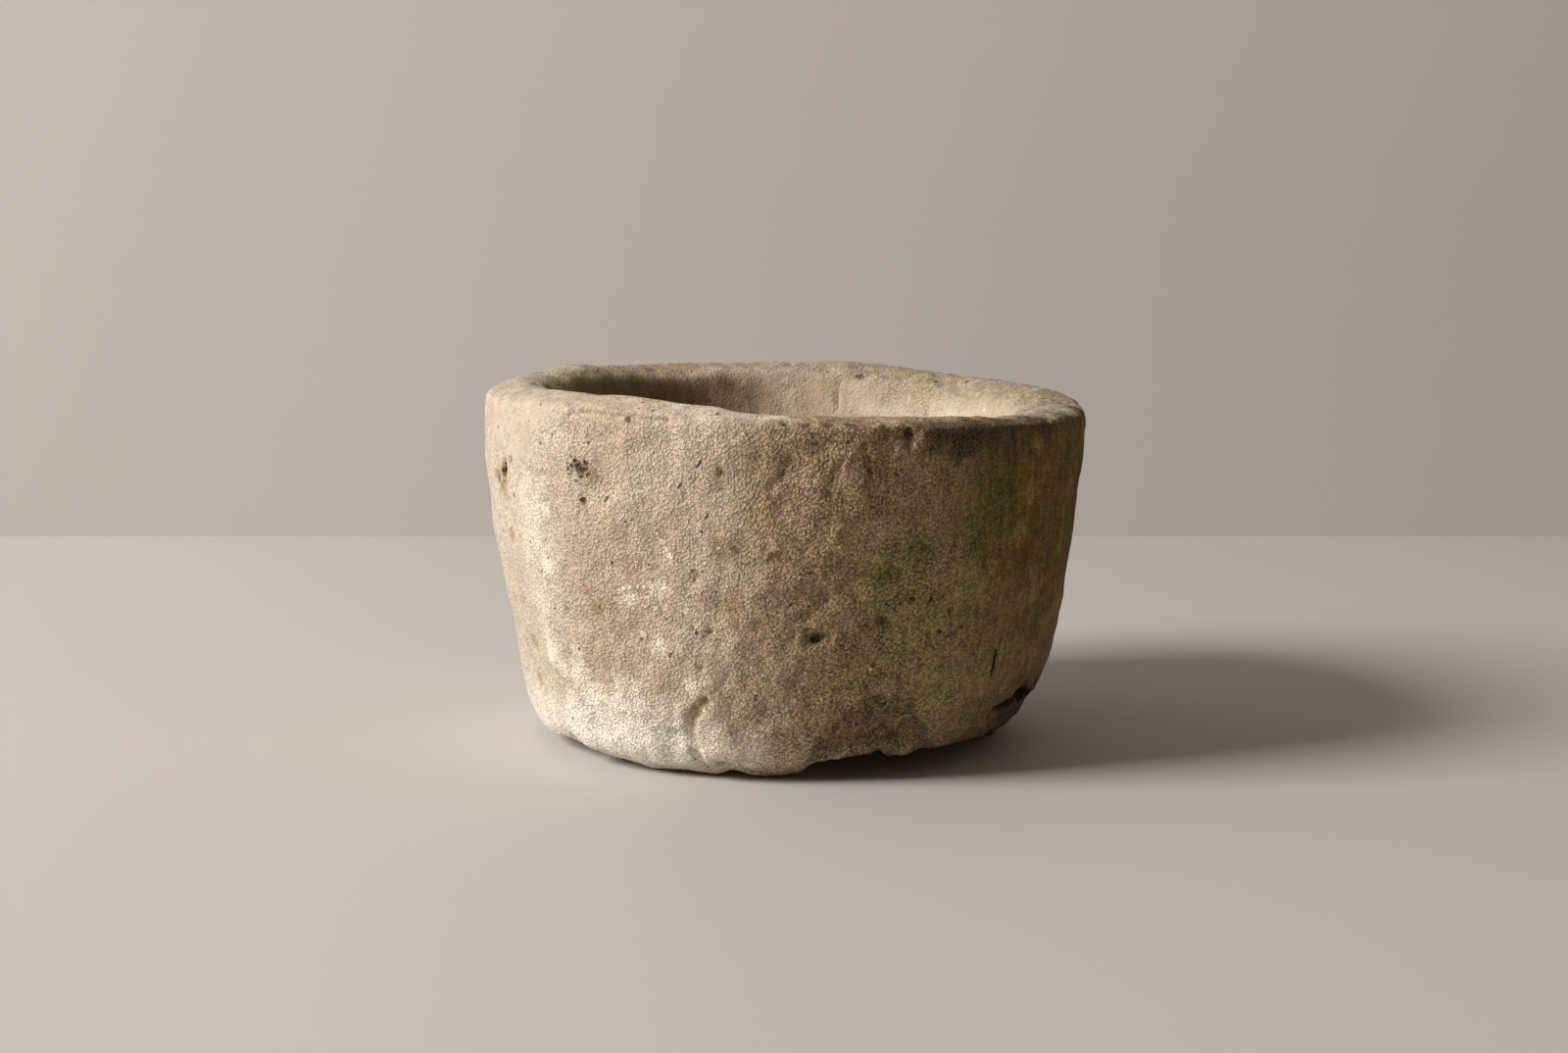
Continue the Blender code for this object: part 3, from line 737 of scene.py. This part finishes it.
swell = board.add('ShaderNodeTexNoise', {}, {
    'Vector': place, 'Scale': 1 / given["Swell length"], 'Detail': 2.0})
swell_press = (0.62 - swell) * 2 * given["Swell depth"]
crumble = board.add('ShaderNodeTexNoise', {}, {
    'Vector': place, 'Scale': 1 / given["Crumble length"], 'Detail': 2.0, 'Roughness': 0.45})
crumble_press = (0.6 - crumble) * 2 * given["Crumble depth"]
sideways = board.add('ShaderNodeSeparateXYZ', {}, [place], 'X')
crumbly = board.smooth(sideways, -0.255, -0.19) * board.smooth(sideways, 0.24, 0.12) * (1 - inside)
crumbly = crumbly * board.smooth(height, 0.356, 0.34)
runs = board.noise(place * (1.0, 1.0, 0.16), RUN_WIDTH, 3.0)
run_press = (0.6 - runs) * RUN_DEPTH * inside
print("wear is in the tree")

# %% [markdown]
# The depths are stored first and the points moved last, because a rule that reads a point's place
# is worked out again after every move. The finish reads the stored depths as dirt and painted shade.
# The flat bed and the ground line stay where they are, so that the tub still stands flat.

# %% The press and the end of the tree
DEPTH_UNIT = 0.0025

facing_down = board.smooth(board.add('ShaderNodeSeparateXYZ', {}, [normal], 'Z'), -0.85, -0.95)
bed = facing_down * board.smooth(height, 0.006, 0.001)
mark_press = placed_pits + placed_furrows + scattered_pits
wear = scoop_press + swell_press + run_press + (crumble_press + chip_press) * (0.35 + crumbly * 0.65)
press = (mark_press + wear) * (1 - bed) * board.smooth(height, 0.0, 0.003)


def stored(geometry, name, value):
    return board.add('GeometryNodeStoreNamedAttribute', {'data_type': 'FLOAT', 'domain': 'POINT'},
                     {'Geometry': geometry, 'Name': name, 'Value': value})


facing_up = board.smooth(board.add('ShaderNodeSeparateXYZ', {}, [normal], 'Z'), 0.45, 0.8)
dirt_and_shade_depth = placed_pits + scattered_pits + furrow_dirt_and_shade
shape = stored(given["Geometry"], "mark_depth", dirt_and_shade_depth / DEPTH_UNIT)
shape = stored(shape, "wear_depth", wear / DEPTH_UNIT)
shape = stored(shape, "facing_up", facing_up)
inwards = board.add('ShaderNodeVectorMath', {'operation': 'SCALE'},
                    {'Vector': normal, 'Scale': 0 - press})
shape = board.add('GeometryNodeSetPosition', {}, {'Geometry': shape, 'Offset': inwards})
painted = board.add('GeometryNodeSetMaterial', {}, {'Geometry': shape, 'Material': given["Material"]})
whole = board.add('GeometryNodeRealizeInstances', {}, {'Geometry': painted})
leave = weathering.nodes.new('NodeGroupOutput')
weathering.links.new(whole.socket, leave.inputs["Geometry"])
print("tree has", len(weathering.nodes), "nodes")

# %% [markdown]
# The tree runs once as a modifier, and its result becomes the skin's mesh. If it has more than
# 196,000 triangles, a Decimate modifier takes the rest away. A mesh of this kind should stay under
# 200,000 triangles, so the last few are taken away by a Decimate modifier.

# %% Wear the blank
TRIANGLE_LIMIT = 196000


def triangle_count(mesh):
    return sum(len(polygon.vertices) - 2 for polygon in mesh.polygons)


sandstone = bpy.data.materials.new("weathered_sandstone")
skin = stone.modifiers.new("weathering", 'NODES')
skin.node_group = weathering
sockets = {item.name: item.identifier for item in weathering.interface.items_tree
           if item.in_out == 'INPUT'}
for title, value in {**SIZES, "Seed": SEED, "Pits": pit_holder, "Furrows": furrow_holder,
                     "Material": sandstone}.items():
    skin[sockets[title]] = value
settle(stone)
triangles = triangle_count(stone.data)
if triangles > TRIANGLE_LIMIT:
    thin = stone.modifiers.new("thin", 'DECIMATE')
    thin.ratio = TRIANGLE_LIMIT / triangles
    settle(stone)
bpy.data.objects.remove(pit_holder)
bpy.data.objects.remove(furrow_holder)
stone.data.shade_smooth()
print("skin has", triangle_count(stone.data), "triangles, from", triangles)

# %% [markdown]
# ## The finish
# Weathered sandstone is many thin layers: tan stone with its grain, cream bloom where it is dry and
# lit, brown and olive where it stays damp, iron in the middle, crust, dirt and painted shade in every
# hollow, and painted light and shade on the grain. Each layer is one line of the shader: a colour,
# and an amount from 0 to 1 that says where it lies. A photograph laid over the skin would smear on its
# far sides, and noise in the stone's own coordinates doesn't.

# %% Places, fields and tints
sandstone.use_nodes = True
finish = Board(sandstone.node_tree)
spot = finish.add('ShaderNodeTexCoord', {}, {}, 'Object')
side = finish.add('ShaderNodeSeparateXYZ', {}, [spot], 'X')
front = finish.add('ShaderNodeSeparateXYZ', {}, [spot], 'Y')
up = finish.add('ShaderNodeSeparateXYZ', {}, [spot], 'Z')


def field(name):
    return finish.add('ShaderNodeAttribute', {'attribute_name': name}, {}, 'Fac')


def tint(base, colour, amount):
    """Base colour turned towards another by an amount from 0 to 1."""
    ends = [(*end, 1.0) if isinstance(end, tuple) else end for end in (base, colour)]
    return finish.add('ShaderNodeMix', {'data_type': 'RGBA'},
                      {'Factor': amount, 'A': ends[0], 'B': ends[1]})


def patch(name, wavelength, raggedness, start, end):
    """A stored field with its edge broken up by noise."""
    noise = finish.noise(spot, wavelength, 4.0, 0.65)
    return finish.smooth(field(name) + (noise - 0.5) * raggedness, start, end)


print("fields, tints and patches ready")

# %% [markdown]
# The colours are plain red, green and blue. Shaders count light, and the eye doesn't: stone that looks
# half as bright as white has a value of about 0.2 here. That is why the dark colours look so dark.

# %% Palette
# bare stone
PALE = (0.600, 0.480, 0.355)
TAN = (0.535, 0.410, 0.295)
CREAM = (0.510, 0.430, 0.328)
WARM = (0.475, 0.340, 0.235)
RIM = (0.46, 0.375, 0.280)
# lime
LIME = (0.90, 0.830, 0.725)
CRUST = (0.84, 0.760, 0.620)
BLOOM = (0.80, 0.700, 0.555)
# damp stone
DRY = (0.430, 0.300, 0.145)
DAMP = (0.320, 0.219, 0.114)
UMBER = (0.160, 0.098, 0.017)
# stains and growth
IRON = (0.38, 0.240, 0.175)
SCAR = (0.21, 0.135, 0.080)
OLIVE = (0.33, 0.275, 0.100)
ALGAE = (0.115, 0.120, 0.026)
# dirt, and painted shade in cracks, hollows and under the rim
GRIME_AND_SHADE = (0.098, 0.063, 0.033)
SOIL_AND_SHADE = (0.055, 0.034, 0.018)
DEEP_SHADE_AND_SOIL = (0.014, 0.009, 0.005)
print("dry stone", TAN, "and damp stone", DAMP)

# %% [markdown]
# Seven noises serve all the layers, from swells as wide as a hand down to single grains of sand. Each
# is made once and used many times, so that colour and relief agree: the high points of the grain are
# painted lighter, as painted highlight, and its hollows darker, as painted shade.

# %% Noises from wide to fine
broad = finish.noise(spot, 0.15, 3.0)
cloud = finish.noise(spot + (0.3, 0.1, 0.7), 0.045, 4.0, 0.6)
mottle = finish.noise(spot, 0.014, 4.0, 0.65)
grain = finish.smooth(finish.noise(spot, 0.0020, 1.0, 0.6), 0.26, 0.74)
sand = finish.noise(spot, 0.0014, 1.0)
streak = finish.noise(spot * (1.0, 1.0, 0.10), 0.006, 3.0, 0.6)
pebble = finish.cells(spot + (grain - 0.5) * 0.0010, 0.0028)
print("noises ready")

# %% [markdown]
# The bare stone comes first, and then its sides: the left is dry and bleached, the right is damp and
# darkens towards the edge, and more so towards the top, where part of the darkening is painted shade.
# Each pair of numbers says where a side starts and where it is full, in metres from the middle.

# %% Stone and its sides
LIT_SIDE = (-0.14, -0.27)
DAMP_SIDE = (-0.09, 0.03)
DARK_SIDE = (0.10, 0.23)
NEAR_SIDE = (-0.12, -0.20)
RIM_HEIGHTS = (0.30, 0.33)
STAINED_WALL = (0.236, 0.222)

flat_spot = finish.add('ShaderNodeVectorMath', {'operation': 'LENGTH'},
                       [spot * (1.0, 1.0, 0.0)], 'Value')
basin = finish.smooth(flat_spot, *STAINED_WALL) * finish.smooth(up, *BASIN_FLOOR)
outer = 1 - basin
colour = tint(TAN, PALE, finish.smooth(cloud, 0.42, 0.62))
colour = tint(colour, WARM, finish.smooth(broad + (mottle - 0.5) * 0.3, 0.50, 0.64) * 0.6)
lit_side = finish.smooth(side + (cloud - 0.5) * 0.12, *LIT_SIDE) * outer
colour = tint(colour, CREAM, lit_side * 0.85)
colour = tint(colour, WARM, finish.smooth(cloud, 0.52, 0.38) * lit_side * 0.35)
damp_side = finish.smooth(side + (cloud - 0.5) * 0.16 + (mottle - 0.5) * 0.04, *DAMP_SIDE) * outer
colour = tint(colour, DAMP, damp_side * 0.90)
dark_right_edge = finish.smooth(side + (cloud - 0.5) * 0.14, *DARK_SIDE) * outer
# Umber darkens the right edge, more towards the top: part damp stain, part painted shade.
colour = tint(colour, UMBER, dark_right_edge * (0.42 + finish.smooth(up, 0.08, 0.22) * 0.54))
colour = tint(colour, DRY, finish.smooth(cloud, 0.52, 0.66) * damp_side * 0.30)
rim = field("facing_up") * finish.smooth(up, *RIM_HEIGHTS)
near_rim = finish.smooth(front, *NEAR_SIDE)
colour = tint(colour, RIM, rim * (1 - near_rim * 0.85) * 0.75)
print("bare stone ready")

# %% [markdown]
# The stains in patches are rows of a table: the stored field, the colour, the wavelength and the
# strength of the noise that breaks up the edge, where the stain starts and where it is full, and how
# much of it shows. The lower ones lie under the lime of the foot, and the upper ones over it.

# %% Stains in patches
LOWER_STAINS = (
    ("damp", DAMP, 0.012, 1.1, 0.15, 0.85, 0.80),
    ("iron", IRON, 0.012, 1.1, 0.25, 0.75, 0.45),
    ("haze", BLOOM, 0.010, 0.9, 0.05, 0.95, 0.45),
    # lime bloom, and a painted highlight on the lit left edge
    ("bloom_and_highlight", BLOOM, 0.006, 1.3, 0.08, 0.70, 0.75),
)
UPPER_STAINS = (
    ("lichen", OLIVE, 0.007, 1.2, 0.20, 0.90, 0.60),
    ("algae", ALGAE, 0.006, 1.4, 0.26, 0.95, 0.76),
    # grime, and painted shade under the rim and over the split
    ("grime_and_shade", GRIME_AND_SHADE, 0.008, 1.1, 0.12, 0.75, 0.92),
    ("scar", SCAR, 0.010, 1.1, 0.20, 0.50, 0.85),
    # soil, and painted shade near black in cracks, pits and the crevice of the split
    ("soil_and_shade", DEEP_SHADE_AND_SOIL, 0.004, 0.6, 0.05, 0.45, 0.94),
    ("crust", CRUST, 0.0030, 0.9, 0.42, 0.72, 0.82),
)


def stained(base, rows):
    """Base colour with a table of stains laid over it, one after another."""
    for name, stain, wavelength, raggedness, start, full, strength in rows:
        base = tint(base, stain, patch(name, wavelength, raggedness, start, full) * strength)
    return base


colour = stained(colour, LOWER_STAINS)
print("stains in patches:", ", ".join(row[0] for row in LOWER_STAINS + UPPER_STAINS))

# %% [markdown]
# At the foot the lime rises from the ground, whitest at the left of the front. Behind, where no
# picture shows the stone, bloom and algae lie where a noise puts them.

# %% Lime and growth
BEHIND = (0.02, 0.12)
LIME_HEIGHTS = (0.085, 0.030)
LIME_SIDE = (0.06, -0.06)

behind_wall = finish.smooth(front, *BEHIND)
wild = finish.noise(spot + (0.7, 0.2, 0.4), 0.06, 4.0, 0.6)
colour = tint(colour, BLOOM, finish.smooth(wild, 0.58, 0.74) * behind_wall * outer * 0.35)
colour = tint(colour, ALGAE, finish.smooth(wild, 0.40, 0.28) * behind_wall * outer * 0.50)
foot_lime = finish.smooth(up + (cloud - 0.5) * 0.06, *LIME_HEIGHTS)
foot_lime = foot_lime * finish.smooth(side + (cloud - 0.5) * 0.1, *LIME_SIDE)
colour = tint(colour, BLOOM, foot_lime * outer * 0.60)
white_side = finish.smooth(side, -0.05, -0.13) * (1 - finish.smooth(side, -0.19, -0.23) * 0.7)
colour = tint(colour, LIME, foot_lime * white_side * outer * 0.80)
colour = stained(colour, UPPER_STAINS)
print("lime and growth ready")

# %% [markdown]
# Painted shade darkens the basin's left wall, where the rim's shadow falls, and lime paints its
# right. Dirt and painted shade darken every hollow, as deep as the weathering tree has stored it.

# %% Basin and hollows
inner_lime = basin * finish.smooth(side + (cloud - 0.5) * 0.1, 0.05, 0.16)
inner_lime = inner_lime * finish.smooth(side, 0.21, 0.17)
colour = tint(colour, BLOOM, inner_lime * 0.6)
# Painted shade on the basin's left wall, where the rim's shadow falls.
painted_basin_shade = basin * finish.smooth(side + (mottle - 0.5) * 0.1, 0.05, -0.12)
colour = tint(colour, GRIME_AND_SHADE, painted_basin_shade * 0.85)
# Dirt and painted shade darken the marks' hollows, and painted shade with grime the deepest worn hollows.
colour = tint(colour, SOIL_AND_SHADE, finish.smooth(field("mark_depth"), 0.3, 3.0) * 0.85)
colour = tint(colour, GRIME_AND_SHADE, finish.smooth(field("wear_depth"), 1.1, 2.4) * 0.35)
print("basin and hollows ready")

# %% [markdown]
# Then come small holes, painted dark with dirt and painted shade, and specks of lime, too small for
# the mesh. A Voronoi texture gives each of its cells a round spot, and the cell's random colour picks
# the cells that have one.

# %% Holes and flecks
wash = patch("wash", 0.020, 0.25, 0.28, 0.38)
specked = finish.smooth(field("specks"), 0.0, 0.5)
leaning = finish.add('ShaderNodeVectorRotate', {'rotation_type': 'Y_AXIS'}, {
    'Vector': spot + (mottle - 0.5) * 0.008, 'Angle': CHIP_LEAN}) * (1.0, 1.0, 0.32)


def spots(place, spacing, radius, share):
    """Round spots in a share of the cells of a Voronoi texture, radius in parts of the spacing."""
    number = finish.add('ShaderNodeSeparateXYZ', {}, [finish.cells(place, spacing, 'Color')], 'X')
    return finish.smooth(finish.cells(place, spacing), radius, radius * 0.4) * finish.smooth(
        number + share, 0.97, 1.03)


ticks = spots(leaning, 0.0120, 0.18, specked * 0.24 + 0.11)
holes = spots(spot + (mottle - 0.5) * 0.006, 0.0120, 0.17, specked * 0.20 + 0.14)
pocks = spots(spot + (grain - 0.5) * 0.001, 0.0060, 0.45, 1.0)
pocks = pocks * finish.smooth(field("pocks"), 0.10, 0.40)
flecks = spots(spot + (0.4, 0.2, 0.1) + (grain - 0.5) * 0.0015, 0.0100, 0.22, specked * 0.25 + 0.12)
dents = (ticks + holes) * (1 - basin * 0.8) + pocks * 1.6
print("holes and flecks ready")

# %% [markdown]
# The grain's relief goes into a Bump node, in metres of height. The mesh carries every shape that
# shows in the outline, so that this is only the sand on top. It is strongest on the crumbly front.

# %% Relief
coarse = finish.smooth(side, -0.26, -0.19) * finish.smooth(side, 0.26, 0.16) * outer
coarse = coarse * finish.smooth(up, 0.354, 0.335)
relief = (0.5 - pebble) * 0.0012 + grain * 0.0005 + sand * 0.0004
relief = relief * (0.45 + coarse * 0.55) * (1 - wash * 0.5)
relief = relief + mottle * (0.0014 + field("facing_up") * 0.0012) - dents * 0.0018 + flecks * 0.0008
flakes = finish.cells(spot + (mottle - 0.5) * 0.008, 0.015)
relief = relief + (cloud * 0.012 + flakes * 0.0030) * finish.smooth(field("scar"), 0.1, 0.5)
relief = relief + streak * 0.0010 * finish.smooth(side, 0.12, 0.24) * outer
bump = finish.add('ShaderNodeBump', {}, {'Strength': 1.0, 'Distance': 1.0, 'Height': relief}, 'Normal')
print("relief ready")

# %% [markdown]
# Last, the grain's relief is also painted into the colour: painted highlight on its tips and painted
# shade in its hollows, over its own light and dark tone. The damp front has more of it. The washed
# corner, the basin and the right edge have less, and down the right edge run soft streaks instead.

# %% Grain in the colour, and the surface
MATT_SPECULAR = 0.25

# Holes, ticks and pocks are painted dark: dirt and painted shade in holes too small for the mesh.
colour = tint(colour, SOIL_AND_SHADE, finish.smooth(dents, 0.0, 1.2) * 0.80)
colour = tint(colour, CRUST, flecks * 0.6 * finish.smooth(side, 0.20, 0.0) * outer)
# The grain's tips are painted lighter and its hollows darker: painted highlight and painted shade of its
# relief.
painted_lit_tips = finish.smooth(pebble, 0.62, 0.18)
grain_tone_and_shading = (grain - 0.5) * 0.35 + (painted_lit_tips - 0.30) * 0.50 + (sand - 0.5) * 0.30
even = (1 - wash * 0.6) * (1 - basin * 0.7) * (1 - field("facing_up") * 0.3)
damp_front = damp_side * (1 - behind_wall * 0.8)
worn_top = field("facing_up") * outer * 0.80
calm = dark_right_edge * 0.75
shade = 1 + grain_tone_and_shading * (1.0 + damp_front * 0.95 - calm) * even
shade = shade + (mottle - 0.5) * (0.55 + damp_front * 0.80 + worn_top) + (cloud - 0.5) * damp_front * 0.6
streaks = 1 - (streak - 0.5) * 1.5 * finish.smooth(side, 0.09, 0.22) * outer
colour = finish.add('ShaderNodeVectorMath', {'operation': 'SCALE'},
                    {'Vector': colour, 'Scale': shade * streaks})
surface = sandstone.node_tree.nodes["Principled BSDF"]
finish.plug(surface.inputs["Base Color"], colour)
finish.plug(surface.inputs["Roughness"], 0.97 - mottle * 0.1)
finish.plug(surface.inputs["Normal"], bump)
surface.inputs["Specular IOR Level"].default_value = MATT_SPECULAR
print("finish has", len(sandstone.node_tree.nodes), "nodes")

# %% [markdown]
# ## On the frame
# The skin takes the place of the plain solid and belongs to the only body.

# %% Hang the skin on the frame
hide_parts("stone_body")
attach(stone, "root")
print(stone.name, "stands in for stone_body")

# %% [markdown]
# ## Floor, wall and light
# A plain pale floor and a plain wall behind it. The wall can be seen through from behind, so that the
# back of the tub can be looked at too.

# %% Floor and wall
STAGE_HALF = 8.0
WALL_PLACE = 1.283
WALL_TALL = 4.0
WALL_COLOUR = (0.53, 0.495, 0.455, 1)
FLOOR_COLOUR = (0.52, 0.49, 0.455, 1)


def plain_sheet(name, corners, colour, roughness):
    mesh = bpy.data.meshes.new(name)
    mesh.from_pydata(corners, [], [(0, 1, 2, 3)])
    sheet = bpy.data.objects.new(name, mesh)
    material = bpy.data.materials.new(name)
    material.use_nodes = True
    shader = material.node_tree.nodes["Principled BSDF"]
    shader.inputs["Base Color"].default_value = colour
    shader.inputs["Roughness"].default_value = roughness
    mesh.materials.append(material)
    bpy.context.scene.collection.objects.link(sheet)
    return material


wall = plain_sheet("wall", [(-STAGE_HALF, WALL_PLACE, 0), (STAGE_HALF, WALL_PLACE, 0),
                            (STAGE_HALF, WALL_PLACE, WALL_TALL), (-STAGE_HALF, WALL_PLACE, WALL_TALL)],
                   WALL_COLOUR, 0.9)
plain_sheet("floor", [(-STAGE_HALF, -STAGE_HALF, 0), (STAGE_HALF, -STAGE_HALF, 0),
                      (STAGE_HALF, STAGE_HALF, 0), (-STAGE_HALF, STAGE_HALF, 0)],
            FLOOR_COLOUR, 0.7)
wall_board = Board(wall.node_tree)
behind = wall_board.add('ShaderNodeNewGeometry', {}, {}, 'Backfacing')
clear = wall_board.add('ShaderNodeBsdfTransparent')
one_sided = wall_board.add('ShaderNodeMixShader', {}, [
    behind, Wire(wall_board, wall.node_tree.nodes["Principled BSDF"].outputs[0]), clear])
wall_board.plug(wall.node_tree.nodes["Material Output"].inputs["Surface"], one_sided)
print("floor is", 2 * STAGE_HALF, "m wide")

# %% [markdown]
# One large soft lamp from the left gives the shadow a soft edge, like a window. A weak, warm and even
# light from all round fills the dark side. The camera sees a paler world than the one that lights.

# %% Lights
LAMP_PLACE = (-7.05, -2.37, 5.00)
LAMP_AIM = (0.0, 0.0, 0.2)
LAMP_SIZE = 3.3
LAMP_WATTS = 1050
ROOM_LIGHT = (0.155, 0.134, 0.106, 1)
ROOM_SEEN = (0.42, 0.38, 0.34, 1)

lamp_data = bpy.data.lights.new("lamp", 'AREA')
lamp_data.shape = 'SQUARE'
lamp_data.size = LAMP_SIZE
lamp_data.energy = LAMP_WATTS
lamp = bpy.data.objects.new("lamp", lamp_data)
lamp.location = LAMP_PLACE
lamp.rotation_euler = (Vector(LAMP_AIM) - Vector(LAMP_PLACE)).to_track_quat('-Z', 'Y').to_euler()
bpy.context.scene.collection.objects.link(lamp)
world = bpy.data.worlds.new("room")
world.use_nodes = True
room = Board(world.node_tree)
seen = room.add('ShaderNodeLightPath', {}, {}, 'Is Camera Ray')
room_colour = room.add('ShaderNodeMix', {'data_type': 'RGBA'},
                       {'Factor': seen, 'A': ROOM_LIGHT, 'B': ROOM_SEEN})
room.plug(world.node_tree.nodes["Background"].inputs["Color"], room_colour)
bpy.context.scene.world = world
print("lamp", lamp_data.energy, "W")
